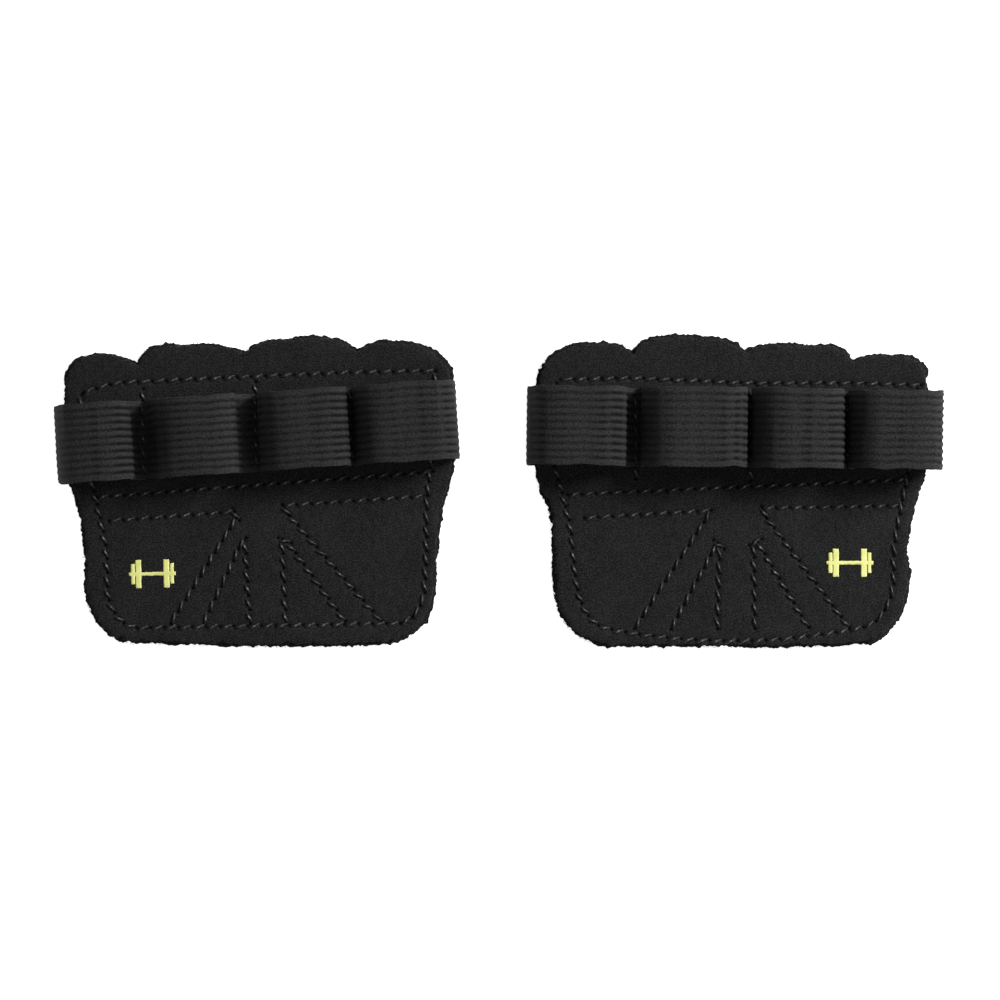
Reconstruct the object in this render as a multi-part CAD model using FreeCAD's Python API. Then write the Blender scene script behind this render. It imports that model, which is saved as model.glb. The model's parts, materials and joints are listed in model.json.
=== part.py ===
import FreeCAD, Part

import math
import os

from FreeCAD import Placement, Rotation, Vector

# A pair of four-finger hand grips, lying flat with the finger loops up.
# X runs across both grips, Y runs from the palm edge to the finger edge, and Z is up.
# Each grip is drawn in its own plane first: u grows towards the index finger, v towards
# the fingertips, both from the middle of the grip. The right grip is then mirrored.

# Driving dimensions, mm and degrees
LAYER = 1.5  # thickness of one suede layer
BACK_MARGIN = 0.8  # the bar-side layer stands out this far past the hand-side one
GRIP_OFFSET = 61.0  # middle of a grip from the middle of the pair
PAIR_SHIFT = (-0.14, -0.39)  # puts the middle of the pair's outer box on the origin

BAND_WIDTH = 20.0
BAND_THICKNESS = 1.2
LOOP_TOP = 17.6  # highest point of a finger loop above the floor
LOOP_ANKLE = 5.2  # a loop's side rises straight up to this height
CROWN_SHIFT = 1.4  # the loops lean towards +X, so their crowns are off centre by this
# A loop's sides above the ankle, as (distance in from its widest span, height)
GENTLE_SIDE = ((0.2, 8.0), (1.7, 12.2), (4.4, 15.5))
STEEP_SIDE = ((0.4, 8.4), (0.0, 12.2), (1.6, 15.5))
ANCHOR_HALF = 0.7  # half the width of the sewn-down strip between two loops
TUCK = 8.0  # how far an end of the band runs in between the layers
DIVIDER_OVERRUN = 3.2  # a divider seam runs this far past the band's edges
SEAM_CLEARANCE = 1.1  # and stops this far short of the seams it meets

STITCH_PITCH = 3.6
STITCH_LENGTH = 2.7
STITCH_SLOPE = 0.6
THREAD_WIDTH = 0.65
THREAD_HEIGHT = 0.36
STITCH_SLANT = 7.0
SEAT = 0.02  # a stitch or the print lies this far off the suede
CHANNEL_WIDTH = 1.1  # the pressed line under the bar-side stitches
CHANNEL_DEPTH = 0.45

RUNNING_GAP = 0.25  # between pieces that move against each other
FOOT_GAP = 0.6  # from a sewn strip to the foot of the loop beside it
FOLD_GAP = 1.75  # from the fold's axis to the finger section's cut edge

PRINT_THICKNESS = 0.12
BARBELL_LENGTH = 12.0
BARBELL_BAR = 0.9
PLATES = ((3.6, 1.5, 7.2), (5.0, 1.0, 5.2))  # distance from the middle, width, height

THICKNESS = 2 * LAYER
REACH = 80.0  # longer than a grip in any direction

# What differs between the two hands. The outline is the bar-side layer's, as smooth runs of
# (u, v) points from lobe to lobe and round the palm, and edge_at is where its side edges
# are beside the band. Seams are (u, v) points too. A loop is the span that it covers at
# its widest, and dividers are the seams between neighbouring loops.
GRIPS = (
    {
        "name": "left",
        "mirrored": False,
        "turn": 1.3,
        "fold": (-1.3, 3.0),
        "band": (15.2, 2.4),
        "dividers": (-29.4, -0.5, 24.0),
        "loops": ((-51.7, -31.3), (-26.5, -4.5), (0.2, 23.8), (24.6, 51.5)),
        "edge_at": (-50.1, 50.2),
        "outline": (
            ((-49.6, 6), (-50.1, 17), (-49.6, 28.5)),
            ((-49.6, 28.5), (-48.5, 33.4), (-45, 36), (-36.4, 36.3), (-31, 34.1)),
            ((-31, 34.1), (-28, 37.6), (-19, 38.6), (-10.5, 38.3), (-3, 36.3)),
            ((-3, 36.3), (0.4, 38.6), (6, 39.5), (20.5, 39.1), (23.9, 37.6), (25.9, 36)),
            ((25.9, 36), (29.7, 37.9), (34, 38.2), (43.4, 37), (48.7, 32.8), (50.3, 28)),
            ((50.3, 28), (49.9, 22), (49.9, 12), (50, 5), (47.7, -3), (45.7, -14), (44.8, -25)),
            ((44.8, -25), (43.7, -30.3), (41.2, -35.1), (37, -38.4), (31, -39.8)),
            ((31, -39.8), (20, -40.1), (-22, -38.8), (-33.5, -38.2)),
            ((-33.5, -38.2), (-38.8, -36.7), (-42.8, -32.8), (-45.2, -28), (-45.9, -20)),
            ((-45.9, -20), (-45.9, -10), (-47.8, -1), (-49.6, 6)),
        ),
        "top_seam": ((-45.0, 26.5), (-36.7, 28.8), (-3.9, 29.6), (24.0, 30.1), (45.8, 30.1)),
        "lower_seam": ((-42.0, -0.4), (44.5, 4.2)),
        "panel_seams": (
            ((-39.0, -6.6), (-5.0, -4.9), (-23.7, -33.4)),
            ((42.3, -2.1), (5.2, -3.7), (30.6, -34.2)),
        ),
        "rays": (
            ((-15.4, -33.8), (-4.2, -11.6), (-3.3, -33.9)),
            ((5.9, -34.1), (5.4, -11.1), (21.1, -33.8)),
        ),
        "edge_seam": (
            ((-45.3, 26.0), (-44.6, 12.0), (-42.0, -2.0), (-40.3, -11.0), (-39.8, -23.0)),
            ((-39.8, -23.0), (-38.8, -29.0), (-36.3, -32.5), (-33.0, -34.3)),
            ((-33.0, -34.3), (33.5, -34.6)),
            ((33.5, -34.6), (38.4, -33.2), (40.9, -29.7), (41.9, -24.0)),
            ((41.9, -24.0), (42.5, -13.0), (43.0, -2.0), (44.4, 9.0), (45.8, 30.0)),
        ),
        "print": (-28.0, -20.4),
    },
    {
        "name": "right",
        "mirrored": True,
        "turn": 0.0,
        "fold": (-1.7, -2.4),
        "band": (16.3, 0.7),
        "dividers": (-29.0, -4.2, 25.4),
        "loops": ((-52.5, -28.3), (-27.4, -3.5), (-2.8, 24.6), (27.9, 53.9)),
        "edge_at": (-50.4, 51.4),
        "outline": (
            ((-49.6, 6), (-50.3, 17), (-50, 29)),
            ((-50, 29), (-48.5, 33.4), (-44.9, 35.2), (-36.6, 35.4), (-30.9, 34.3)),
            ((-30.9, 34.3), (-27.8, 37.2), (-19, 38.2), (-10.4, 38.6), (-3, 36.5)),
            ((-3, 36.5), (0.3, 39), (6, 40), (20.6, 40), (24.2, 38.4), (26.3, 36.2)),
            ((26.3, 36.2), (29.7, 38.2), (34, 38.7), (43.7, 37.6), (49.2, 33.2), (50.7, 28)),
            ((50.7, 28), (51.1, 18), (51.2, 7), (50.3, 1.8), (48.1, -3.2), (46.9, -14), (46.4, -25)),
            ((46.4, -25), (45.1, -31), (41.9, -35.8), (37.2, -38.6), (31.1, -39.8)),
            ((31.1, -39.8), (20, -39.8), (-22, -39.8), (-33.6, -39.2)),
            ((-33.6, -39.2), (-39, -37.1), (-42.8, -32.7), (-44.7, -27.9), (-45.4, -20)),
            ((-45.4, -20), (-45.4, -10), (-47.7, -1.1), (-49.6, 6)),
        ),
        "top_seam": ((-48.0, 27.4), (-29.5, 27.9), (-3.5, 27.9), (26.1, 29.2), (44.8, 28.8)),
        "lower_seam": ((-44.6, 3.2), (43.0, -0.7)),
        "panel_seams": (
            ((-42.8, -3.6), (-6.4, -4.2), (-29.5, -35.0)),
            ((38.7, -6.7), (5.9, -4.8), (25.7, -35.2)),
        ),
        "rays": (
            ((-19.0, -35.0), (-4.9, -11.2), (-5.3, -35.3)),
            ((4.4, -35.3), (3.7, -11.9), (16.3, -35.3)),
        ),
        "edge_seam": (
            ((-47.0, 26.5), (-45.6, 12.0), (-43.9, 1.0), (-41.7, -9.7), (-41.0, -22.0)),
            ((-41.0, -22.0), (-40.6, -25.6), (-38.1, -31.4), (-35.2, -34.3)),
            ((-35.2, -34.3), (-31.0, -35.2), (32.6, -35.3)),
            ((32.6, -35.3), (36.5, -33.2), (39.4, -28.5), (40.9, -22.0)),
            ((40.9, -22.0), (41.6, -14.8), (42.7, -6.1), (45.5, 4.0), (45.8, 28.0)),
        ),
        "print": (-29.7, -18.2),
    },
)
FINGERS = ("pinky", "ring", "middle", "index")


def curve_through(points):
    """A smooth curve through the points, or a straight line through two."""
    if len(points) == 2:
        return Part.LineSegment(*points).toShape()
    curve = Part.BSplineCurve()
    curve.interpolate(points)
    return curve.toShape()


def outline(grip, inset):
    """The face of one suede layer at the floor, with its four finger lobes."""

    def at(u, v):
        return Vector(u * (1 - inset / 50), v * (1 - inset / 40), 0)

    edges = [curve_through([at(u, v) for u, v in run]) for run in grip["outline"]]
    return Part.Face(Part.Wire(edges))


def box_between(low, high):
    size = [h - l for l, h in zip(low, high)]
    return Part.makeBox(*size, Vector(*low))


def fold_frame(grip):
    """At the fold's axis: x along the fold, y towards the fingertips."""
    height, slope = grip["fold"]
    return Placement(Vector(0, height, LAYER), Rotation(Vector(0, 0, 1), slope))


def band_frame(grip):
    """At the band's middle line: x along the band, y across it."""
    height, slope = grip["band"]
    return Placement(Vector(0, height, 0), Rotation(Vector(0, 0, 1), slope))


def finger_side(grip):
    """Everything on the fingertip side of the fold's open gap."""
    block = box_between((-REACH, FOLD_GAP, -REACH), (REACH, REACH, REACH))
    block.Placement = fold_frame(grip)
    return block


def palm_side(grip):
    """Everything on the palm side of the fold, with a round nose about its axis."""
    block = box_between((-REACH, -REACH, -REACH), (REACH, 0, REACH))
    nose = Part.makeCylinder(LAYER, 2 * REACH, Vector(-REACH, 0, 0), Vector(1, 0, 0))
    side = block.fuse(nose).removeSplitter()
    side.Placement = fold_frame(grip)
    return side


def band_pockets(grip):
    """Room between the layers for the band's two ends."""
    room = SEAT * 2
    half = BAND_THICKNESS / 2 + room
    pinky_edge, index_edge = grip["edge_at"]
    spans = ((-REACH, pinky_edge + TUCK + room), (index_edge - TUCK - room, REACH))
    pockets = []
    for start, end in spans:
        low = (start, -BAND_WIDTH / 2 - room, LAYER - half)
        high = (end, BAND_WIDTH / 2 + room, LAYER + half)
        pocket = box_between(low, high)
        pocket.Placement = band_frame(grip)
        pockets.append(pocket)
    return pockets


def height_at(seam, u):
    """How high up a seam from the pinky's side to the index finger's is at u."""
    for (u1, v1), (u2, v2) in zip(seam, seam[1:]):
        if u1 <= u <= u2:
            return v1 + (v2 - v1) * (u - u1) / (u2 - u1)


def seam_paths(grip):
    """Every seam as a list of edges, under the name of its thread."""
    band_middle, band_slope = grip["band"]
    rise = math.tan(math.radians(band_slope))
    reach = BAND_WIDTH / 2 + DIVIDER_OVERRUN
    dividers = []
    for u in grip["dividers"]:
        middle = band_middle + u * rise
        top = min(middle + reach, height_at(grip["top_seam"], u) - SEAM_CLEARANCE)
        bottom = max(middle - reach, height_at(grip["lower_seam"], u) + SEAM_CLEARANCE)
        dividers.append(((u, top), (u, bottom)))

    def straight(points):
        corners = [Vector(u, v, 0) for u, v in points]
        return [Part.LineSegment(a, b).toShape() for a, b in zip(corners, corners[1:])]

    def curved(runs):
        return [curve_through([Vector(u, v, 0) for u, v in run]) for run in runs]

    return {
        "top_seam": [straight(grip["top_seam"])],
        "lower_seam": [straight(grip["lower_seam"])],
        "dividers": [straight(line) for line in dividers],
        "edge_seam": [curved(grip["edge_seam"])],
        "panel_seams": [straight(line) for line in grip["panel_seams"]],
        "rays": [straight(line) for line in grip["rays"]],
    }


def stitch_places(edges):
    """Middle point and direction of each stitch along a run of edges."""
    wire = Part.Wire(edges)
    count = max(1, round(wire.Length / STITCH_PITCH))
    ends = wire.discretize(Number=count + 1)
    places = []
    for a, b in zip(ends, ends[1:]):
        heading = math.degrees(math.atan2(b.y - a.y, b.x - a.x))
        places.append(((a + b) * 0.5, heading))
    return places


def stitch_solid():
    """One stitch along X: flat underneath, sloping down into the suede at both ends."""
    half = STITCH_LENGTH / 2
    side = -THREAD_WIDTH / 2
    profile = [
        Vector(-half, side, 0),
        Vector(half, side, 0),
        Vector(half - STITCH_SLOPE, side, THREAD_HEIGHT),
        Vector(STITCH_SLOPE - half, side, THREAD_HEIGHT),
        Vector(-half, side, 0),
    ]
    return Part.Face(Part.makePolygon(profile)).extrude(Vector(0, THREAD_WIDTH, 0))


def stitches(places, height):
    """A group of stitches lying at one height."""
    pattern = stitch_solid()
    group = []
    for middle, heading in places:
        piece = pattern.copy()
        turn = Rotation(Vector(0, 0, 1), heading + STITCH_SLANT)
        piece.Placement = Placement(Vector(middle.x, middle.y, height), turn)
        group.append(piece)
    return group


def split_places(grip, places):
    """The stitches on the finger section, and those on the palm section.

    Those that would meet the other section when the grip folds are left out.
    """
    to_fold = fold_frame(grip).inverse()
    finger, palm = [], []
    for middle, heading in places:
        along = to_fold.multVec(middle).y
        slope = math.radians(heading - grip["fold"][1])
        reach = abs(math.sin(slope)) * STITCH_LENGTH / 2 + THREAD_WIDTH
        if along - reach > FOLD_GAP:
            finger.append((middle, heading))
        elif along + reach < -LAYER - RUNNING_GAP:
            palm.append((middle, heading))
    return finger, palm


def channels(places):
    """Short slots that let the bar-side stitches sink into the suede."""
    slots = []
    length = STITCH_PITCH * 1.04
    for middle, heading in places:
        low = (-length / 2, -CHANNEL_WIDTH / 2, -1)
        slot = box_between(low, (length / 2, CHANNEL_WIDTH / 2, CHANNEL_DEPTH))
        slot.Placement = Placement(middle, Rotation(Vector(0, 0, 1), heading))
        slots.append(slot)
    return slots


def thick_strip(line_points):
    """A band's edge-on outline as a face: a smooth line, given its thickness."""
    line = Part.BSplineCurve()
    line.interpolate(line_points)
    steps = 24
    first, last = line.FirstParameter, line.LastParameter
    outer, inner = [], []
    for i in range(steps + 1):
        t = first + (last - first) * i / steps
        point = line.value(t)
        along = line.tangent(t)[0]
        across = Vector(-along.z, 0, along.x) * (BAND_THICKNESS / 2)
        outer.append(point + across)
        inner.append(point - across)
    sides = [curve_through(outer), Part.LineSegment(outer[-1], inner[-1]).toShape()]
    sides.append(curve_through(inner[::-1]))
    sides.append(Part.LineSegment(inner[0], outer[0]).toShape())
    return Part.Face(Part.Wire(sides))


def loop_feet(grip, index):
    """Where a loop's two ends stand, as (position along the band, height)."""
    half = BAND_THICKNESS / 2
    beside = ANCHOR_HALF + FOOT_GAP + half
    outside = half + SEAT
    on_suede = THICKNESS + RUNNING_GAP + half * 0.4
    on_tuck = LAYER + half + RUNNING_GAP
    feet = []
    if index == 0:
        feet.append((grip["edge_at"][0] - outside, on_tuck))
    else:
        feet.append((grip["dividers"][index - 1] + beside, on_suede))
    if index == len(FINGERS) - 1:
        feet.append((grip["edge_at"][1] + outside, on_tuck))
    else:
        feet.append((grip["dividers"][index] - beside, on_suede))
    return feet


def loop(grip, index):
    """One finger loop: the band arched from foot to foot."""
    half = BAND_THICKNESS / 2
    start, end = loop_feet(grip, index)
    low, high = grip["loops"][index]
    if grip["mirrored"]:
        rising, falling, shift = STEEP_SIDE, GENTLE_SIDE, -CROWN_SHIFT
    else:
        rising, falling, shift = GENTLE_SIDE, STEEP_SIDE, CROWN_SHIFT
    line = [Vector(start[0], 0, start[1]), Vector(start[0], 0, LOOP_ANKLE)]
    line += [Vector(low + half + inset, 0, height) for inset, height in rising]
    line.append(Vector((low + high) / 2 + shift, 0, LOOP_TOP - half))
    line += [Vector(high - half - inset, 0, height) for inset, height in reversed(falling)]
    line += [Vector(end[0], 0, LOOP_ANKLE), Vector(end[0], 0, end[1])]
    face = thick_strip(line)
    face.translate(Vector(0, -BAND_WIDTH / 2, 0))
    arch = face.extrude(Vector(0, BAND_WIDTH, 0))
    arch.Placement = band_frame(grip)
    return [arch]


def band_anchors(grip):
    """The parts of the band that don't stretch: three sewn strips and two tucked ends."""
    half = BAND_THICKNESS / 2
    outside = BAND_THICKNESS + SEAT
    pinky_edge, index_edge = grip["edge_at"]
    spans = [(u - ANCHOR_HALF, u + ANCHOR_HALF, THICKNESS) for u in grip["dividers"]]
    spans.append((pinky_edge - outside, pinky_edge + TUCK, LAYER - half))
    spans.append((index_edge - TUCK, index_edge + outside, LAYER - half))
    strips = []
    for start, end, bottom in spans:
        low = (start, -BAND_WIDTH / 2, bottom)
        strip = box_between(low, (end, BAND_WIDTH / 2, bottom + BAND_THICKNESS))
        strip.Placement = band_frame(grip)
        strips.append(strip)
    return strips


def barbell(grip):
    """The printed mark: a plain barbell, in one thin film."""
    bottom = THICKNESS + SEAT
    top = bottom + PRINT_THICKNESS
    half = BARBELL_LENGTH / 2
    film = box_between((-half, -BARBELL_BAR / 2, bottom), (half, BARBELL_BAR / 2, top))
    for distance, width, height in PLATES:
        for side in (-1, 1):
            middle = side * distance
            low = (middle - width / 2, -height / 2, bottom)
            film = film.fuse(box_between(low, (middle + width / 2, height / 2, top)))
    film = film.removeSplitter()
    film.translate(Vector(*grip["print"], 0))
    return [film]


def suede_panels(grip, places):
    """Both layers, each cut at the fold into a finger part and a palm part."""
    front = outline(grip, BACK_MARGIN).extrude(Vector(0, 0, LAYER))
    front.translate(Vector(0, 0, LAYER))
    back = outline(grip, 0).extrude(Vector(0, 0, LAYER))
    back = back.cut(channels(places))
    pockets = band_pockets(grip)
    return {
        "front_finger_panel": [front.common(finger_side(grip)).cut(pockets)],
        "front_palm_panel": [front.common(palm_side(grip))],
        "back_finger_panel": [back.common(finger_side(grip)).cut(pockets)],
        "back_palm_panel": [back.common(palm_side(grip))],
    }


def threads(grip):
    """All stitches by node, and the places of those that go right through."""
    nodes, through = {}, []
    top = THICKNESS + SEAT
    for name, lines in seam_paths(grip).items():
        places = [place for line in lines for place in stitch_places(line)]
        through += places
        if name == "edge_seam":
            finger, palm = split_places(grip, places)
            nodes["thread_edge_finger"] = stitches(finger, top)
            nodes["thread_edge_palm"] = stitches(palm, top)
        elif name == "dividers":
            nodes["thread_dividers"] = divider_stitches(grip, places)
        else:
            nodes["thread_" + name] = stitches(places, top)
    finger, palm = split_places(grip, through)
    nodes["bobbin_finger"] = stitches(finger, SEAT)
    nodes["bobbin_palm"] = stitches(palm, SEAT)
    return nodes, finger + palm


def divider_stitches(grip, places):
    """Divider stitches lie on the band where it is, and on the suede past its edges."""
    frame = band_frame(grip).inverse()
    on_band, on_suede = [], []
    for place in places:
        across = abs(frame.multVec(place[0]).y)
        if across < BAND_WIDTH / 2 - STITCH_LENGTH * 0.4:
            on_band.append(place)
        elif across > BAND_WIDTH / 2 + STITCH_LENGTH * 0.4:
            on_suede.append(place)
    raised = stitches(on_band, THICKNESS + BAND_THICKNESS + SEAT)
    return raised + stitches(on_suede, THICKNESS + SEAT)


def grip_nodes(grip):
    """Every piece of one grip in its own plane."""
    nodes, places = threads(grip)
    nodes.update(suede_panels(grip, places))
    nodes["band_anchors"] = band_anchors(grip)
    for index, finger in enumerate(FINGERS):
        nodes["loop_" + finger] = loop(grip, index)
    nodes["print_mark"] = barbell(grip)
    return nodes


def put_in_place(grip, solids):
    """Moves one piece from its grip's plane to its place in the pair."""
    shape = solids[0] if len(solids) == 1 else Part.makeCompound(solids)
    offset = -GRIP_OFFSET
    if grip["mirrored"]:
        shape = shape.mirror(Vector(0, 0, 0), Vector(1, 0, 0))
        offset = GRIP_OFFSET
    shape.rotate(Vector(0, 0, 0), Vector(0, 0, 1), grip["turn"])
    shape.translate(Vector(offset + PAIR_SHIFT[0], PAIR_SHIFT[1], 0))
    return shape


os.makedirs("parts", exist_ok=True)
for grip in GRIPS:
    for node, solids in grip_nodes(grip).items():
        put_in_place(grip, solids).exportStep("parts/" + grip["name"] + "_" + node + ".step")
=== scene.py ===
import json
import math
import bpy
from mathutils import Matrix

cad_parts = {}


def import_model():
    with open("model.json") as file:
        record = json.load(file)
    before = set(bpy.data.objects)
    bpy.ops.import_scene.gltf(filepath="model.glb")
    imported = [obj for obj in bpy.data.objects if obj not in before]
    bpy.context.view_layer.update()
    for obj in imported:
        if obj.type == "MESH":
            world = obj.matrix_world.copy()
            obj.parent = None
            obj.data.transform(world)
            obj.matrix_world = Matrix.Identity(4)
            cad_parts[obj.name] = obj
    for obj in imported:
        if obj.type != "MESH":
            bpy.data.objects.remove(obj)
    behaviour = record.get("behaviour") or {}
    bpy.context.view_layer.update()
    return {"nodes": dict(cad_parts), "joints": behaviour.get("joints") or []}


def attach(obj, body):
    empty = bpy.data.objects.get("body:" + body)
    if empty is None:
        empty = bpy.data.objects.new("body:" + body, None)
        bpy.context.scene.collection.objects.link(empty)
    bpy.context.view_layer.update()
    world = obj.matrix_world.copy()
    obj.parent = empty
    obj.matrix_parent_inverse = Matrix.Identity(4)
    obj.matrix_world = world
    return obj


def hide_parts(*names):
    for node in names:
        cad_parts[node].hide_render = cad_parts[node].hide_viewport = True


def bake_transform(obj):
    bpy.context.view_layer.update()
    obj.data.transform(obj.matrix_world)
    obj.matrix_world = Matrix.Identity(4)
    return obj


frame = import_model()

from types import SimpleNamespace

import bmesh
import bpy
import numpy as np
from mathutils import Vector, geometry

# A pair of suede hand grips lying on a pale floor, finger loops up. Everything is in metres,
# and every place is read from the CAD frame: the outline of the suede, each stitch, the
# arch of each finger loop and the fold. Only what a finer model adds has sizes here.
MM = 0.001
rng = np.random.default_rng(11)

SIDES = ("left", "right")
FINGERS = ("pinky", "ring", "middle", "index")

LAYER = 1.5 * MM
BACK_MARGIN = 0.8 * MM  # the bar-side layer stands out this far
EDGE_STEP = 0.35 * MM  # between points along a cut edge
GRID_STEP = 0.6 * MM  # between points on open suede
SEAM_STEP = 0.28 * MM  # and beside a seam
HIDDEN_STEP = 2.5 * MM  # and on faces between the layers
CHUNK = 2000  # points measured against all others at once, to spare memory
EDGE_DROP = 0.22 * MM  # a layer is thinner by this much at its cut edge
EDGE_FALL = 0.7 * MM  # over about this distance
ROLL_HEIGHT = 0.06 * MM  # of the hide's slow unevenness
EDGE_ROUGHNESS = ((2, 0.11), (5, 0.13), (18, 0.10))  # width in points, height in mm
UV_UNIT = 10 * MM  # the noise scales of the suede, elastic and print count in this

FIBRES = 1500  # loose fibres round one cut edge
FIBRE_SIDES = 3
FIBRE_GAMMA = (2.2, 0.21)  # shape, and scale in mm, of the spread of their lengths
LONG_FIBRES = 0.006  # the share of them that are four times as long
LONGEST_FIBRE = 1.6 * MM
FIBRE_RADII = (0.03 * MM, 0.062 * MM)
FIBRE_ROOT = 0.15 * MM  # they start this far inside the edge
FIBRE_RISE = 0.3 * MM  # they end no higher than this over the layer
FLOOR_ROOM = 0.1 * MM  # and no lower than this over the floor

STITCH_PITCH = 3.6 * MM
STITCH_SLANT = math.radians(7)  # how far the CAD's stitches are turned from their seam
STITCH_REACH = 0.44  # half a stitch's length, as a share of the pitch
STITCH_POINTS = 15  # along one stitch
STITCH_TURN = 0.035  # radians, how unevenly the stitches are turned
STITCH_LIFT = 0.03 * MM  # how unevenly high they lie
STITCH_LEAN = (0.5 * MM, 0.75 * MM)  # how far to the side of the seam its ends are
THREAD_RADIUS = 0.26 * MM
THREAD_SIDES = 10
THREAD_CROWN = 0.096 * MM  # a stitch rises this far over the middle of the CAD's
THREAD_DIVE = 1.02 * MM  # and drops by this much to its ends
PLY_DEPTH = 0.2  # of the groove between the two plies, as a share of the radius
PLY_TWIST = 5.2  # radians from a stitch's middle to its end
HIGHLIGHT_MIDDLE, HIGHLIGHT_REACH = 0.05, 0.22  # of the painted highlight on a stitch's crown, in half stitches
HIGHLIGHT_RANGE = (0.3, 1.35)  # least and most that a crown's painted highlight is lit
UNDER_SEAT = -0.40 * MM  # bar-side stitches are sunk in, so that the grips lie flat
SEAM_WIDTH = 0.85 * MM
SEAM_DEPTH = 0.22 * MM
SEAM_REACH = SEAM_WIDTH * 1.7  # the suede is modelled finely this near a seam
HOLE_RADIUS = 0.44 * MM
HOLE_DEPTH = 0.6 * MM

BAND_WIDTH = 20 * MM
BAND_THICKNESS = 1.2 * MM
BAND_TOP = 2 * LAYER + BAND_THICKNESS * 0.8  # stitches above this sit on the elastic
BAND_STEP = 0.5 * MM  # between points along the elastic
RIBS = 11
RIB_POINTS = 8  # across one rib
RIB_HEIGHT = 0.32 * MM
PICK_SPACING = 0.62 * MM  # of the knitted picks
ARCH_POINTS = 19  # read along a loop's middle line
FOOT_BELOW = 4.5 * MM  # a loop's feet lie under this height
LOOP_ANKLE = 6.0 * MM  # below this a loop bends into the flat band
CROWN_FROM = 13.0 * MM  # above this is a loop's crown
STRETCH_REACH = 7 * MM  # the ribs are deepest this near the crown's steep end
FOOT_TO_DIVIDER = 1.9 * MM  # from a loop's foot to the seam beside it
SEWN_HEIGHT = 2 * LAYER + BAND_THICKNESS / 2  # of the band's middle where it is sewn down
TUCK = 8 * MM  # the band's ends run in between the layers this far
# The band past a loop's foot, as (distance out from the foot, height) from the far end in
SEWN_END = (
    (FOOT_TO_DIVIDER, SEWN_HEIGHT),
    (FOOT_TO_DIVIDER - 0.7 * MM, SEWN_HEIGHT + 0.02 * MM),
    (0.35 * MM, SEWN_HEIGHT + 0.8 * MM),
)
TUCKED_END = (
    (-TUCK, LAYER),
    (-3 * MM, LAYER),
    (-1.1 * MM, LAYER + 0.05 * MM),
    (0, 2.7 * MM),
)

PRINT_STEP = 0.2 * MM  # between points along the print's edge
PRINT_GRID = 0.3 * MM  # and inside it
PRINT_LIFT = 0.07 * MM  # of the print's top over the suede
PRINT_THICKNESS = 0.1 * MM


# --- Reading the CAD frame ---

def corners_of(node):
    mesh = frame["nodes"][node].data
    points = np.empty(len(mesh.vertices) * 3)
    mesh.vertices.foreach_get("co", points)
    return points.reshape(-1, 3)


def welded(node):
    """A CAD node's points with doubles merged, and its triangles over them."""
    mesh = frame["nodes"][node].data
    mesh.calc_loop_triangles()
    points, index = np.unique(np.round(corners_of(node), 7), axis=0, return_inverse=True)
    triangles = np.empty(len(mesh.loop_triangles) * 3, int)
    mesh.loop_triangles.foreach_get("vertices", triangles)
    return points, index.ravel()[triangles].reshape(-1, 3)


def solids_of(node):
    """The corner points of each separate solid in a CAD node."""
    points, triangles = welded(node)
    leader = list(range(len(points)))

    def find(i):
        while leader[i] != i:
            leader[i] = leader[leader[i]]
            i = leader[i]
        return i

    for a, b, c in triangles:
        leader[find(b)] = find(a)
        leader[find(c)] = find(a)
    groups = {}
    for i in range(len(points)):
        groups.setdefault(find(i), []).append(i)
    return [points[g] for g in groups.values()]


def stitches_in(grip, thread):
    """Each stitch of a CAD thread node: its middle, and the seam's direction there."""
    found = []
    for points in solids_of(grip.side + "_" + thread):
        middle = (points.min(0) + points.max(0)) / 2
        _, _, axes = np.linalg.svd(points[:, :2] - points[:, :2].mean(0))
        heading = math.atan2(axes[0][1], axes[0][0])
        heading += STITCH_SLANT if grip.mirrored else -STITCH_SLANT
        found.append((middle, heading))
    return found


def ring_of_face(node, direction, depth=2e-6):
    """The edge of the flat face at a CAD node's far end in one direction, as a closed ring."""
    points, triangles = welded(node)
    reach = points @ direction
    face = triangles[(reach[triangles] > reach.max() - depth).all(1)]
    edges = {edge for a, b, c in face for edge in ((a, b), (b, c), (c, a))}
    after = {a: b for a, b in edges if (b, a) not in edges}
    ring = [min(after)]
    while after[ring[-1]] != ring[0]:
        ring.append(after[ring[-1]])
    return points[ring]


def ring_on_top(node):
    return ring_of_face(node, np.array([0, 0, 1]))[:, :2]


def cut_at_fold(ring):
    """The ring as an open line that starts and ends at its longest side, the fold."""
    step = np.linalg.norm(np.roll(ring, -1, 0) - ring, axis=1)
    return np.roll(ring, -int(step.argmax()) - 1, 0)


def read_grip(side):
    """What the CAD says about one grip."""
    joint = next(j for j in frame["joints"] if j["name"] == side + "_palm_fold")
    axis = np.array(joint["axis"])
    fold_up = np.array([-axis[1], axis[0], 0])
    panels = [side + "_front_finger_panel", side + "_front_palm_panel"]
    outline = np.vstack([cut_at_fold(ring_on_top(panel)) for panel in panels])
    middles = np.array([corners_of(f"{side}_loop_{f}").mean(0)[:2] for f in FINGERS])
    along = middles[-1] - middles[0]
    along /= np.linalg.norm(along)
    across = np.array([-along[1], along[0]])
    return SimpleNamespace(
        side=side,
        mirrored=side == "right",
        fold_at=np.array(joint["pos_m"]),
        fold_up=fold_up,
        outline=outline,
        centre=(outline.min(0) + outline.max(0)) / 2,
        band_at=middles.mean(0),
        band_along=along,
        band_across=across if across[1] > 0 else -across,
        finger_body=side + "_finger_section",
        palm_body=side + "_palm_section",
    )


# --- Mesh helpers ---

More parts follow.
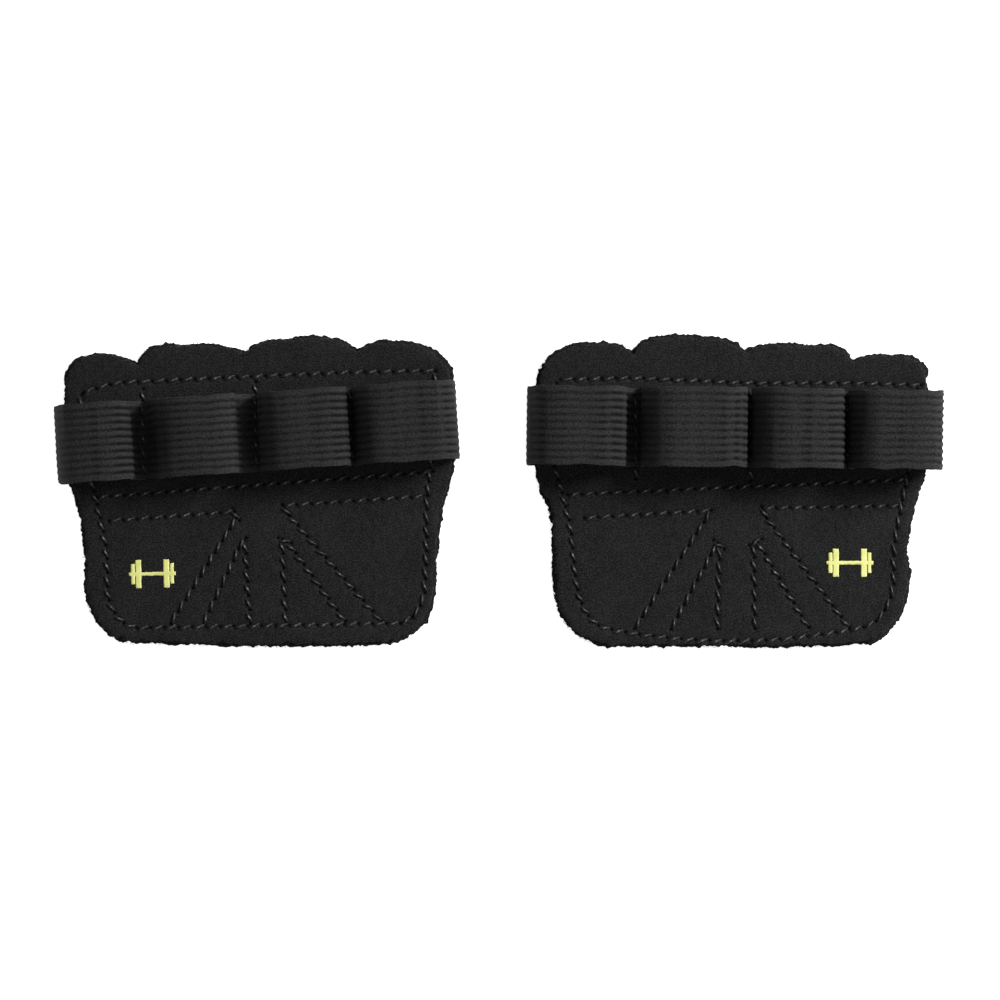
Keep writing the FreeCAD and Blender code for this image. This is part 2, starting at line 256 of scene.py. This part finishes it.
def make_object(name, points, faces, material, uv=None, **values):
    """A smooth mesh object. uv and the named values are given per point."""
    mesh = bpy.data.meshes.new(name)
    mesh.from_pydata([tuple(p) for p in points], [], [tuple(f) for f in faces])
    for key, value in values.items():
        layer = mesh.attributes.new(key, "FLOAT", "POINT")
        layer.data.foreach_set("value", np.asarray(value, np.float32))
    if uv is not None:
        corner = np.empty(len(mesh.loops), int)
        mesh.loops.foreach_get("vertex_index", corner)
        mesh.uv_layers.new(name="UVMap").data.foreach_set("uv", uv[corner].ravel())
    work = bmesh.new()
    work.from_mesh(mesh)
    bmesh.ops.recalc_face_normals(work, faces=work.faces)
    work.to_mesh(mesh)
    work.free()
    mesh.shade_smooth()
    mesh.materials.append(material)
    piece = bpy.data.objects.new(name, mesh)
    bpy.context.scene.collection.objects.link(piece)
    return piece


def bend_at_fold(piece):
    """Bakes the piece's placement into its mesh."""
    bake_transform(piece)


def distance_along(line):
    """How far along the line each of its points is."""
    steps = np.linalg.norm(np.diff(line, axis=0), axis=1)
    return np.concatenate([[0], np.cumsum(steps)])


def even_ring(ring, step):
    """A closed ring with its points spaced evenly."""
    closed = np.vstack([ring, ring[:1]])
    length = distance_along(closed)
    at = np.linspace(0, length[-1], round(length[-1] / step), endpoint=False)
    return np.column_stack([np.interp(at, length, closed[:, k]) for k in (0, 1)])


def outward(ring):
    """Unit normals of an anticlockwise ring."""
    along = np.roll(ring, -1, 0) - np.roll(ring, 1, 0)
    along /= np.linalg.norm(along, axis=1)[:, None]
    return np.column_stack([along[:, 1], -along[:, 0]])


def smooth_noise(count, width):
    """Noise round a ring, smoothed over width points, with a spread of 1."""
    wave = np.fft.rfft(rng.normal(size=count))
    wave *= np.exp(-((np.arange(len(wave)) * width / count) ** 2) * 2)
    values = np.fft.irfft(wave, count)
    return values / values.std()


def inside(ring, points):
    """Which points lie inside the ring."""
    result = np.zeros(len(points), bool)
    x, y = points[:, 0], points[:, 1]
    for (ax, ay), (bx, by) in zip(ring, np.roll(ring, -1, 0)):
        crosses = (ay > y) != (by > y)
        if crosses.any():
            result ^= crosses & (x < (bx - ax) * (y - ay) / (by - ay + 1e-15) + ax)
    return result


def nearest(points, others):
    """Distance from each point to the nearest of the others."""
    result = np.empty(len(points))
    for i in range(0, len(points), CHUNK):
        gap = points[i:i + CHUNK, None] - others[None]
        result[i:i + CHUNK] = np.sqrt((gap ** 2).sum(2)).min(1)
    return result


def to_seams(points, seams):
    """Distance from each point to the nearest seam line."""
    result = np.empty(len(points))
    half = STITCH_PITCH / 2
    for i in range(0, len(points), CHUNK):
        gap = points[i:i + CHUNK, None] - seams.middles[None]
        slide = np.clip((gap * seams.along).sum(2), -half, half)
        gap -= slide[:, :, None] * seams.along
        result[i:i + CHUNK] = np.sqrt((gap ** 2).sum(2)).min(1)
    return result


def grid_inside(ring, step):
    """A loose triangular grid of points inside the ring, clear of its edge."""
    low, high = ring.min(0), ring.max(0)
    row = np.arange(low[1], high[1], step * 0.87)
    column = np.arange(low[0], high[0], step)
    x, y = np.meshgrid(column, row)
    x[1::2] += step / 2
    points = np.column_stack([x.ravel(), y.ravel()])
    points += rng.uniform(-0.15, 0.15, points.shape) * step
    points = points[inside(ring, points)]
    return points[nearest(points, ring) > min(step, EDGE_STEP * 2) * 0.7]


def fill(ring, extra):
    """Triangles that fill the ring, over its points and the extra ones inside."""
    points = np.vstack([ring, extra]) / MM
    count = len(ring)
    edges = [(i, (i + 1) % count) for i in range(count)]
    made = geometry.delaunay_2d_cdt([Vector(p) for p in points], edges, [], 1, 1e-6)
    return np.array([tuple(p) for p in made[0]]) * MM, [tuple(f) for f in made[2]]


# --- Suede ---

def seams_of(stitches):
    """Seam segments and needle holes from a list of stitches."""
    middles = np.array([middle[:2] for middle, _ in stitches])
    along = np.array([[math.cos(h), math.sin(h)] for _, h in stitches])
    half = along * STITCH_PITCH / 2
    return SimpleNamespace(
        middles=middles, along=along, holes=np.vstack([middles - half, middles + half])
    )


def pressed(points, seams):
    """How deep the suede is pressed in at each point, and how near a needle hole is."""
    seam = np.exp(-((to_seams(points, seams) / SEAM_WIDTH) ** 2))
    hole = np.exp(-((nearest(points, seams.holes) / HOLE_RADIUS) ** 2))
    return seam * SEAM_DEPTH + hole * HOLE_DEPTH, hole


def rolling(points):
    """The slow unevenness of a hide, from -1 to 1."""
    x, y = (points / MM).T
    return (np.sin(x / 9.1 + y / 14) + np.sin(y / 7.3 - x / 21 + 1) + np.sin(x / 4.7 + 2)) / 3


def suede_face(ring, seams, height, up, open_step, with_seams):
    """One face of a layer: 3D points, triangles, and how near a hole each point is."""
    extra = grid_inside(ring, open_step)
    if with_seams:
        distance = to_seams(extra, seams)
        fine = grid_inside(ring, SEAM_STEP)
        fine = fine[to_seams(fine, seams) < SEAM_REACH]
        extra = np.vstack([extra[distance > SEAM_REACH], fine])
    flat, faces = fill(ring, extra)
    depth, hole = np.zeros((2, len(flat)))
    if with_seams:
        depth, hole = pressed(flat, seams)
        if up > 0:
            depth -= rolling(flat) * ROLL_HEIGHT
    depth += np.exp(-nearest(flat, ring) / EDGE_FALL) * EDGE_DROP
    return np.column_stack([flat, height - up * depth]), faces, hole


def suede_layer(grip, name, ring, low, high, seams, shown_up, material, replaced):
    """One suede layer as a closed sheet with a rough cut edge."""
    count = len(ring)
    out = outward(ring)
    rough = sum(smooth_noise(count, width) * height for width, height in EDGE_ROUGHNESS) * MM
    levels = ((0.96, -0.10), (0.72, 0.05), (0.35, 0.03), (0.04, -0.08))  # share up, mm out
    rings = []
    for share, bulge in levels:
        shift = rough + bulge * MM + smooth_noise(count, 2) * 0.07 * MM
        rings.append((ring + out * shift[:, None], low + (high - low) * share))
    top_step = GRID_STEP if shown_up else HIDDEN_STEP
    bottom_step = HIDDEN_STEP if shown_up else GRID_STEP
    top = suede_face(rings[0][0], seams, high, 1, top_step, shown_up)
    bottom = suede_face(rings[-1][0], seams, low, -1, bottom_step, not shown_up)
    walls = [np.column_stack([flat, np.full(count, z)]) for flat, z in rings[1:-1]]
    points = np.vstack([top[0], *walls, bottom[0]])
    starts = [0, len(top[0]), len(top[0]) + count, len(top[0]) + 2 * count]
    faces = list(top[1]) + [tuple(i + starts[3] for i in f) for f in bottom[1]]
    for a, b in zip(starts, starts[1:]):
        for i in range(count):
            j = (i + 1) % count
            faces.append((a + i, b + i, b + j, a + j))
    hole = np.concatenate([top[2], np.zeros(2 * count), bottom[2]])
    uv = (points[:, :2] - grip.centre) / UV_UNIT
    uv[:, 1] += points[:, 2] / UV_UNIT
    piece = make_object(name, points, faces, material, uv=uv, hole=hole)
    bend_at_fold(piece)
    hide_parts(*replaced)
    return piece


def edge_fibres(name, ring, low, high, material):
    """Loose fibres that stand out from a cut edge."""
    out = outward(ring)
    sides = FIBRE_SIDES
    points, faces = [], []
    for pick in rng.integers(0, len(ring), FIBRES):
        length = rng.gamma(*FIBRE_GAMMA) * (4 if rng.random() < LONG_FIBRES else 1)
        length = min(length * MM, LONGEST_FIBRE)
        radius = rng.uniform(*FIBRE_RADII)
        lean = Vector((*(out[pick] + rng.normal(0, 0.7, 2)), rng.normal(0, 0.35)))
        start = Vector((*(ring[pick] - out[pick] * FIBRE_ROOT), rng.uniform(low, high)))
        middle = start + lean.normalized() * length * 0.5
        turn = Vector(rng.normal(0, 0.45, 3))
        tip = middle + (lean.normalized() + turn).normalized() * length * 0.5
        for place in (middle, tip):
            place.z = min(max(place.z, FLOOR_ROOM), high + FIBRE_RISE)
        first = len(points)
        side = lean.orthogonal().normalized()
        other = lean.normalized().cross(side)
        for at, size in ((start, radius), (middle, radius * 0.8)):
            for k in range(sides):
                angle = 2 * math.pi * k / sides
                offset = side * math.cos(angle) + other * math.sin(angle)
                points.append(at + offset * size)
        points.append(tip)
        for k in range(sides):
            n = (k + 1) % sides
            faces.append((first + k, first + n, first + sides + n, first + sides + k))
            faces.append((first + sides + k, first + sides + n, first + 2 * sides))
    piece = make_object(name, points, faces, material)
    bend_at_fold(piece)


# --- Thread ---

def thread_mesh(stitches, up):
    """Two-ply stitches that rise out of one needle hole and dive into the next.

    Also returns a painted highlight for each point, strongest on the top of a stitch's crown.
    """
    around = THREAD_SIDES
    t = np.linspace(-1, 1, STITCH_POINTS)[:, None]
    angle = np.linspace(0, 2 * math.pi, around, endpoint=False)[None]
    rise = THREAD_CROWN - THREAD_DIVE * np.abs(t) ** 2.6
    lift = np.array([0, 0, up])
    seat = UNDER_SEAT if up < 0 else 0
    points, faces, worn = [], [], []
    for middle, heading in stitches:
        heading += rng.normal(0, STITCH_TURN)
        along = np.array([math.cos(heading), math.sin(heading), 0])
        side = np.array([-along[1], along[0], 0])
        lean = t * rng.uniform(*STITCH_LEAN)
        high = rise + rng.normal(0, STITCH_LIFT)
        reach = along * t * STITCH_PITCH * STITCH_REACH
        centre = middle + reach + side * lean + lift * (high + seat)
        turned = 2 * angle - rng.uniform(0, math.pi) - PLY_TWIST * t
        ply = 1 + PLY_DEPTH * np.cos(turned)
        size = THREAD_RADIUS * ply * (1 - 0.25 * t ** 4)
        across = side * np.cos(angle)[:, :, None] + lift * np.sin(angle)[:, :, None] * 0.85
        tube = centre[:, None] + across * size[:, :, None]
        first = len(points) * tube.shape[0] * around
        points.append(tube.reshape(-1, 3))
        # painted highlight: the top of each stitch's crown is painted lighter, where the light
        # falls
        crown = np.clip(1 - ((t - HIGHLIGHT_MIDDLE) / HIGHLIGHT_REACH) ** 2, 0, 1)
        crown = crown * np.clip(np.sin(angle), 0, 1)
        worn.append((crown * rng.uniform(*HIGHLIGHT_RANGE)).ravel())
        for i in range(len(t) - 1):
            a = first + i * around
            for k in range(around):
                n = (k + 1) % around
                faces.append((a + k, a + n, a + around + n, a + around + k))
        last = first + (len(t) - 1) * around
        faces.append(tuple(range(first + around - 1, first - 1, -1)))
        faces.append(tuple(range(last, last + around)))
    return np.vstack(points), faces, np.concatenate(worn)


def bridge(grip, finger, palm):
    """Stitches for the stretch of edge seam that crosses the fold."""
    added = []
    for sign in (-1, 1):
        def on_side(place):
            return (place[0][0] - grip.centre[0]) * sign > 0

        def height(place):
            return (place[0] - grip.fold_at) @ grip.fold_up

        above = min(filter(on_side, finger), key=height)[0]
        below = max(filter(on_side, palm), key=height)[0]
        gap = below - above
        steps = round(np.linalg.norm(gap) / STITCH_PITCH)
        for i in range(1, steps):
            added.append((above + gap * i / steps, math.atan2(gap[1], gap[0])))
    return added


def threads(grip, material):
    """All the stitches of one grip, hand side and bar side."""
    names = ("top_seam", "lower_seam", "dividers", "edge_finger", "edge_palm",
             "panel_seams", "rays")
    rows = {name: stitches_in(grip, "thread_" + name) for name in names}
    crossing = bridge(grip, rows["edge_finger"], rows["edge_palm"])
    rows["edge_palm"] += crossing
    bobbin = stitches_in(grip, "bobbin_finger")
    bobbin += [(np.array([*m[:2], bobbin[0][0][2]]), h) for m, h in crossing]
    rows_under = {"bobbin_finger": bobbin, "bobbin_palm": stitches_in(grip, "bobbin_palm")}
    for group, up in ((rows, 1), (rows_under, -1)):
        for name, row in group.items():
            node = name if up < 0 else "thread_" + name
            label = f"{grip.side}_{name}_stitches"
            points, faces, worn = thread_mesh(row, up)
            piece = make_object(label, points, faces, material, worn=worn)
            bend_at_fold(piece)
            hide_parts(grip.side + "_" + node)
    on_suede = [place for row in rows.values() for place in row if place[0][2] < BAND_TOP]
    under = [place for row in rows_under.values() for place in row]
    return seams_of(on_suede), seams_of(under)


# --- Elastic band ---

def smooth_line(controls, step):
    """A smooth line through the control points, evenly sampled, and its length."""
    p = np.array(controls, float)
    p = np.vstack([2 * p[0] - p[1], p, 2 * p[-1] - p[-2]])
    line = []
    for a, b, c, d in zip(p, p[1:], p[2:], p[3:]):
        spans = ((a, b), (b, c), (c, d))
        ta, tb, tc = (max(np.linalg.norm(r - q), 1e-9) ** 0.5 for q, r in spans)
        m1 = (b - a) / ta - (c - a) / (ta + tb) + (c - b) / tb
        m2 = (c - b) / tb - (d - b) / (tb + tc) + (d - c) / tc
        for t in np.linspace(0, 1, 16, endpoint=False):
            h1, h2 = 2 * t ** 3 - 3 * t ** 2 + 1, t ** 3 - 2 * t ** 2 + t
            h3, h4 = -2 * t ** 3 + 3 * t ** 2, t ** 3 - t ** 2
            line.append(b * h1 + m1 * tb * h2 + c * h3 + m2 * tb * h4)
    line.append(p[-2])
    line = np.array(line)
    length = distance_along(line)
    at = np.linspace(0, length[-1], round(length[-1] / step) + 1)
    return np.column_stack([np.interp(at, length, line[:, k]) for k in (0, 1)]), length[-1]


def resampled(line, count):
    """The same line with evenly spaced points."""
    length = distance_along(line)
    at = np.linspace(0, length[-1], count)
    return np.column_stack([np.interp(at, length, column) for column in line.T])


def arch_line(grip, finger):
    """The middle line of a CAD loop, foot to foot, as (distance along the band, height)."""
    across = np.array([*grip.band_across, 0])
    ring = ring_of_face(f"{grip.side}_loop_{finger}", across, BAND_WIDTH / 4)
    ring = np.column_stack([(ring[:, :2] - grip.band_at) @ grip.band_along, ring[:, 2]])
    ahead = np.roll(ring, -1, 0)
    wide = np.abs(ahead[:, 0] - ring[:, 0]) > BAND_THICKNESS * 0.75
    feet = np.flatnonzero(wide & (np.maximum(ring[:, 1], ahead[:, 1]) < FOOT_BELOW))
    ring = np.roll(ring, -feet[0] - 1, 0)
    turn = feet[1] - feet[0]
    outer, inner = ring[:turn], ring[turn:][::-1]
    line = (resampled(outer, ARCH_POINTS) + resampled(inner, ARCH_POINTS)) / 2
    return line if line[0, 0] < line[-1, 0] else line[::-1]


def loop_controls(grip, finger):
    """One loop's middle line, and the band that goes on from its feet."""
    arch = arch_line(grip, finger)
    first = TUCKED_END if finger == "pinky" else SEWN_END
    last = TUCKED_END if finger == "index" else SEWN_END
    start = [(arch[0, 0] - out, height) for out, height in first]
    end = [(arch[-1, 0] + out, height) for out, height in last]
    return start + [tuple(p) for p in arch[arch[:, 1] > LOOP_ANKLE]] + end[::-1]


def rib_heights(across, stretched):
    """How high the ribs stand at each point of a band, from 0 in a groove to 1; the material also
    paints shade in the grooves from it.
    """
    uneven = 1 + smooth_noise(len(stretched), 3)[:, None] * 0.15
    groove = (1 - np.cos(across * math.pi * RIBS) ** 2) * (0.6 + 0.4 * stretched) * uneven
    rib = np.clip(1 - groove, 0, 1)
    rib[:, [0, 1, -2, -1]] = 1  # no groove along the band's edges
    # near the steep end the crests stand higher, and the material paints them lighter as a painted
    # highlight
    return rib * (0.78 + 0.22 * stretched)


def band_faces(steps, wide):
    """Quads for both sides of a band of steps by wide points, and for its four edges."""
    under = steps * wide
    faces = []
    for i in range(steps - 1):
        for k in range(wide - 1):
            a = i * wide + k
            faces.append((a, a + 1, a + wide + 1, a + wide))
            faces.append((under + a, under + a + wide, under + a + wide + 1, under + a + 1))
        for k in (0, wide - 1):
            a = i * wide + k
            faces.append((a, a + wide, under + a + wide, under + a))
    for i in (0, steps - 1):
        for k in range(wide - 1):
            a = i * wide + k
            faces.append((a, a + 1, under + a + 1, under + a))
    return faces


def elastic_loop(grip, finger, material):
    """One finger loop of ribbed elastic. The ribs are deepest at the crown's steep end."""
    line, length = smooth_line(loop_controls(grip, finger), BAND_STEP)
    steps = len(line)
    along = np.gradient(line, axis=0)
    along /= np.linalg.norm(along, axis=1)[:, None]
    normal = np.column_stack([-along[:, 1], along[:, 0]])
    across = np.linspace(-0.5, 0.5, RIBS * RIB_POINTS + 1)
    steep_end = (line[:, 0] * grip.band_along[0] - (line[:, 1] < CROWN_FROM)).argmax()
    from_steep = np.abs(np.arange(steps) - steep_end) * length / steps
    # rib shapes the ribs, and the material paints shade in the grooves and a highlight on the
    # crests from it
    rib = rib_heights(across, np.exp(-((from_steep / STRETCH_REACH) ** 2))[:, None])
    thick = (BAND_THICKNESS - RIB_HEIGHT) / 2 * (1 - 0.35 * (2 * np.abs(across)) ** 16)
    sway = smooth_noise(steps, 9)[:, None] * 0.06 + smooth_noise(steps, 9)[:, None] * across * 0.2
    pucker = smooth_noise(steps, 4)[:, None] * np.cos(across * 5 + 1) * 0.05
    y = across * BAND_WIDTH + sway * MM
    points = []
    for face in (1, -1):
        lift = face * (thick + (rib - 0.5) * RIB_HEIGHT) + pucker * MM
        place = line[:, None] + normal[:, None] * lift[:, :, None]
        flat = place[:, :, :1] * grip.band_along + y[:, :, None] * grip.band_across
        points.append(np.dstack([flat + grip.band_at, place[:, :, 1]]).reshape(-1, 3))
    down_band = np.repeat(np.linspace(0, length, steps), len(across))
    uv = np.column_stack([down_band, np.tile(across * BAND_WIDTH, steps)]) / UV_UNIT
    name = f"{grip.side}_elastic_{finger}"
    piece = make_object(name, np.vstack(points), band_faces(steps, len(across)), material,
                        uv=np.vstack([uv, uv]), rib=np.tile(rib.ravel(), 2))
    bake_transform(piece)
    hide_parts(f"{grip.side}_loop_{finger}")
    return piece


# --- Print ---

def print_film(grip, seams, material):
    """The barbell print, as a thin film that follows the suede."""
    ring = even_ring(ring_on_top(grip.side + "_print_mark"), PRINT_STEP)
    wobble = smooth_noise(len(ring), 3) * 0.03 * MM
    ring = ring + outward(ring) * wobble[:, None]
    flat, faces = fill(ring, grid_inside(ring, PRINT_GRID))
    depth = pressed(flat, seams)[0] - rolling(flat) * ROLL_HEIGHT
    top = 2 * LAYER - depth + PRINT_LIFT
    count, rim = len(flat), len(ring)
    points = np.vstack([np.column_stack([flat, z]) for z in (top, top - PRINT_THICKNESS)])
    faces = list(faces) + [tuple(count + i for i in f[::-1]) for f in faces]
    for i in range(rim):
        j = (i + 1) % rim
        faces.append((i, count + i, count + j, j))
    uv = (points[:, :2] - grip.centre) / UV_UNIT
    piece = make_object(grip.side + "_barbell_print", points, faces, material, uv=uv)
    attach(piece, grip.palm_body)
    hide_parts(grip.side + "_print_mark")


# --- Materials ---

class Look:
    """A Principled material, and short calls for its nodes."""

    def __init__(self, name):
        self.material = bpy.data.materials.new(name)
        self.material.use_nodes = True
        self.tree = self.material.node_tree
        self.shader = self.tree.nodes["Principled BSDF"]

    def set(self, values):
        for key, value in values.items():
            self.shader.inputs[key].default_value = value

    def node(self, kind, inputs=(), **settings):
        node = self.tree.nodes.new(kind)
        for key, value in settings.items():
            setattr(node, key, value)
        for key, value in dict(inputs).items():
            if isinstance(value, bpy.types.NodeSocket):
                self.tree.links.new(value, node.inputs[key])
            else:
                node.inputs[key].default_value = value
        return node

    def link(self, output, name):
        self.tree.links.new(output, self.shader.inputs[name])

    def uv(self):
        return self.node("ShaderNodeTexCoord").outputs["UV"]

    def value(self, name):
        return self.node("ShaderNodeAttribute", attribute_name=name).outputs["Fac"]

    def noise(self, scale, detail=3, roughness=0.6, at=None, stretch=None):
        at = at or self.uv()
        if stretch:
            at = self.node("ShaderNodeMapping", {"Vector": at, "Scale": stretch}).outputs[0]
        inputs = {"Vector": at, "Scale": scale, "Detail": detail, "Roughness": roughness}
        return self.node("ShaderNodeTexNoise", inputs).outputs["Fac"]

    def spread(self, value, low, high, to_low=0.0, to_high=1.0):
        names = ("Value", "From Min", "From Max", "To Min", "To Max")
        inputs = dict(zip(names, (value, low, high, to_low, to_high)))
        return self.node("ShaderNodeMapRange", inputs).outputs[0]

    def math(self, operation, a, b):
        return self.node("ShaderNodeMath", {0: a, 1: b}, operation=operation).outputs[0]

    def mix(self, factor, a, b):
        node = self.node("ShaderNodeMix", {"Factor": factor}, data_type="RGBA")
        for socket, value in ((node.inputs[6], a), (node.inputs[7], b)):
            if isinstance(value, bpy.types.NodeSocket):
                self.tree.links.new(value, socket)
            else:
                socket.default_value = (*value, 1)
        return node.outputs[2]

    def bump(self, height, distance, strength=1.0, under=None):
        inputs = {"Height": height, "Distance": distance, "Strength": strength}
        node = self.node("ShaderNodeBump", inputs)
        if under:
            self.tree.links.new(under, node.inputs["Normal"])
        return node.outputs["Normal"]


def suede(name, dark, light):
    """Black split suede: a matt nap with fine grain, rubbed patches, pressed seams, and painted
    shade in the needle holes.
    """
    look = Look(name)
    grain = look.noise(26, detail=3, roughness=0.75)
    nap = look.noise(7, detail=3, roughness=0.6, stretch=(1.0, 0.55, 1))
    patch = look.noise(0.8, detail=3, roughness=0.5)
    mixed = look.math("ADD", look.math("MULTIPLY", grain, 0.8), look.math("MULTIPLY", nap, 0.12))
    mixed = look.math("ADD", mixed, look.math("MULTIPLY", patch, 0.08))
    colour = look.mix(look.spread(mixed, 0.44, 0.6), dark, light)
    # painted shade: the suede is painted near black in and around each needle hole
    colour = look.mix(look.spread(look.value("hole"), 0.2, 0.75), colour, (0.0006, 0.0006, 0.0007))
    look.link(colour, "Base Color")
    normal = look.bump(nap, 0.3 * MM, 0.6)
    look.link(look.bump(grain, 0.2 * MM, 0.9, normal), "Normal")
    look.link(look.spread(grain, 0.3, 0.7, 0.85, 1.0), "Roughness")
    look.set({"Specular IOR Level": 0.1, "Sheen Weight": 0.03, "Sheen Roughness": 0.6})
    return look.material


def fibre():
    """Single fibres at the cut edges."""
    look = Look("suede_fibre")
    colour = look.mix(look.noise(900, at=look.node("ShaderNodeTexCoord").outputs["Object"]),
                      (0.006, 0.006, 0.0065), (0.022, 0.022, 0.0225))
    look.link(colour, "Base Color")
    look.set({"Roughness": 0.8, "Specular IOR Level": 0.2})
    return look.material


def elastic():
    """Black ribbed elastic: knitted picks across each rib, painted shade in the grooves between
    ribs, and a painted highlight on the crests near the crown's steep end.
    """
    look = Look("ribbed_elastic")
    at = look.uv()
    split = look.node("ShaderNodeSeparateXYZ", {0: at})
    s, w = split.outputs[0], split.outputs[1]
    lean = look.math("PINGPONG", w, BAND_WIDTH / RIBS / 2 / UV_UNIT)
    turns = 2 * math.pi / (PICK_SPACING / UV_UNIT)
    turn = look.math("MULTIPLY", look.math("ADD", s, lean), turns)
    picks = look.math("SINE", turn, 0)
    heather = look.noise(24, detail=3, roughness=0.75, stretch=(0.75, 1.2, 1))
    broad = look.noise(1.6, detail=2, roughness=0.5)
    # painted shade in the grooves and painted highlight on the crests, from the rib heights
    lit = look.math("MULTIPLY", look.spread(look.value("rib"), 0.08, 1.0, 0.02, 1.4),
                    look.spread(heather, 0.42, 0.58, 0.2, 1.6))
    lit = look.math("MULTIPLY", lit, look.spread(picks, -1, 1, 0.9, 1.07))
    lit = look.math("MULTIPLY", lit, look.spread(broad, 0.3, 0.7, 0.85, 1.15))
    look.link(look.mix(lit, (0.0028, 0.0028, 0.003), (0.031, 0.031, 0.0322)), "Base Color")
    normal = look.bump(heather, 0.15 * MM, 0.7)
    look.link(look.bump(picks, 0.08 * MM, 0.7, normal), "Normal")
    look.link(look.spread(heather, 0.3, 0.7, 0.7, 0.9), "Roughness")
    look.set({"Specular IOR Level": 0.12, "Sheen Weight": 0.01, "Sheen Roughness": 0.45})
    return look.material


def thread():
    """Black bonded thread, twisted, with a painted grey highlight on the top of each stitch's
    crown, and slightly shiny.
    """
    look = Look("black_thread")
    place = look.node("ShaderNodeTexCoord").outputs["Object"]
    fine = look.noise(2200, detail=2, at=place)
    # painted highlight: the top of each crown is painted lighter grey
    worn = look.math("MULTIPLY", look.value("worn"), look.spread(fine, 0.3, 0.7, 0.55, 1.25))
    look.link(look.mix(worn, (0.011, 0.011, 0.0114), (0.15, 0.15, 0.153)), "Base Color")
    look.link(look.bump(fine, 0.08 * MM, 0.6), "Normal")
    look.link(look.spread(fine, 0.3, 0.7, 0.4, 0.6), "Roughness")
    look.set({"Specular IOR Level": 0.4, "Sheen Weight": 0.05})
    return look.material


def print_ink():
    """Pale yellow transfer print, thin over the nap."""
    look = Look("yellow_print")
    at = look.uv()
    pits = look.noise(38, detail=3, roughness=0.7, at=at)
    tone = look.noise(4, at=at)
    colour = look.mix(look.spread(tone, 0.35, 0.65), (0.66, 0.67, 0.20), (0.76, 0.77, 0.28))
    colour = look.mix(look.spread(pits, 0.66, 0.78), colour, (0.16, 0.16, 0.05))
    look.link(colour, "Base Color")
    look.link(look.bump(pits, 0.08 * MM, 0.6), "Normal")
    look.link(look.spread(pits, 0.3, 0.7, 0.45, 0.7), "Roughness")
    return look.material


# --- The pair ---

front_suede = suede("hand_side_suede", (0.002, 0.002, 0.0021), (0.027, 0.027, 0.0276))
back_suede = suede("bar_side_suede", (0.0018, 0.0018, 0.0019), (0.022, 0.022, 0.0226))
fibres, band, yarn, ink = fibre(), elastic(), thread(), print_ink()

for side in SIDES:
    grip = read_grip(side)
    over, under = threads(grip, yarn)
    front_ring = even_ring(grip.outline, EDGE_STEP)
    spread = 1 + BACK_MARGIN / ((front_ring.max(0) - front_ring.min(0)) / 2)
    back_ring = even_ring(grip.centre + (front_ring - grip.centre) * spread, EDGE_STEP)
    back = suede_layer(grip, side + "_bar_side_suede", back_ring, 0, LAYER, under, False,
                       back_suede, [side + "_back_finger_panel", side + "_back_palm_panel"])
    front = suede_layer(grip, side + "_hand_side_suede", front_ring, LAYER, 2 * LAYER, over, True,
                        front_suede, [side + "_front_finger_panel", side + "_front_palm_panel"])
    edge_fibres(side + "_hand_side_fibres", front_ring, LAYER, 2 * LAYER, fibres)
    edge_fibres(side + "_bar_side_fibres", back_ring, FLOOR_ROOM, LAYER, fibres)
    for finger in FINGERS:
        loop = elastic_loop(grip, finger, band)
        if finger == "pinky":
            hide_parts(side + "_band_anchors")
    print_film(grip, over, ink)


# --- Floor, light and camera ---

def floor():
    """A white floor that also glows, so that shadows stay faint."""
    look = Look("pale_floor")
    look.set({"Base Color": (0.85, 0.85, 0.85, 1), "Roughness": 0.9, "Specular IOR Level": 0.1})
    look.set({"Emission Color": (1, 1, 1, 1), "Emission Strength": 0.85})
    mesh = bpy.data.meshes.new("floor")
    reach = 3.0  # metres each way
    corners = [(-reach, -reach, 0), (reach, -reach, 0), (reach, reach, 0), (-reach, reach, 0)]
    mesh.from_pydata(corners, [], [(0, 1, 2, 3)])
    mesh.materials.append(look.material)
    plane = bpy.data.objects.new("floor", mesh)
    bpy.context.scene.collection.objects.link(plane)


def softbox(name, place, size, watts):
    """A square lamp that points at the middle of the pair."""
    lamp = bpy.data.lights.new(name, "AREA")
    lamp.size = size
    lamp.energy = watts
    piece = bpy.data.objects.new(name, lamp)
    piece.location = place
    piece.rotation_euler = (-Vector(place)).to_track_quat("-Z", "Y").to_euler()
    bpy.context.scene.collection.objects.link(piece)


def camera():
    """Straight above the pair, with a long lens."""
    height, view = 0.75, 0.257  # above the suede, and across the picture at the suede
    lens = bpy.data.cameras.new("camera")
    lens.sensor_width = 36
    lens.lens = 36 * height / view
    piece = bpy.data.objects.new("camera", lens)
    piece.location = (0.66 * MM, -2.45 * MM, height + 2 * LAYER)
    bpy.context.scene.collection.objects.link(piece)
    bpy.context.scene.camera = piece


def world():
    """A pale studio, dimmer on the left than on the right."""
    sky = bpy.data.worlds.new("studio")
    sky.use_nodes = True
    nodes, links = sky.node_tree.nodes, sky.node_tree.links
    place = nodes.new("ShaderNodeTexCoord")
    split = nodes.new("ShaderNodeSeparateXYZ")
    ramp = nodes.new("ShaderNodeMapRange")
    ends = {"From Min": -0.9, "From Max": 0.9, "To Min": 0.18, "To Max": 0.65}
    for name, value in ends.items():
        ramp.inputs[name].default_value = value
    links.new(place.outputs["Generated"], split.inputs[0])
    links.new(split.outputs["X"], ramp.inputs["Value"])
    links.new(ramp.outputs[0], nodes["Background"].inputs["Strength"])
    nodes["Background"].inputs["Color"].default_value = (1, 1, 1, 1)
    bpy.context.scene.world = sky


floor()
softbox("key", (0.75, 0.4, 0.62), 0.35, 14)
world()
camera()
bpy.context.scene.view_settings.view_transform = "Standard"
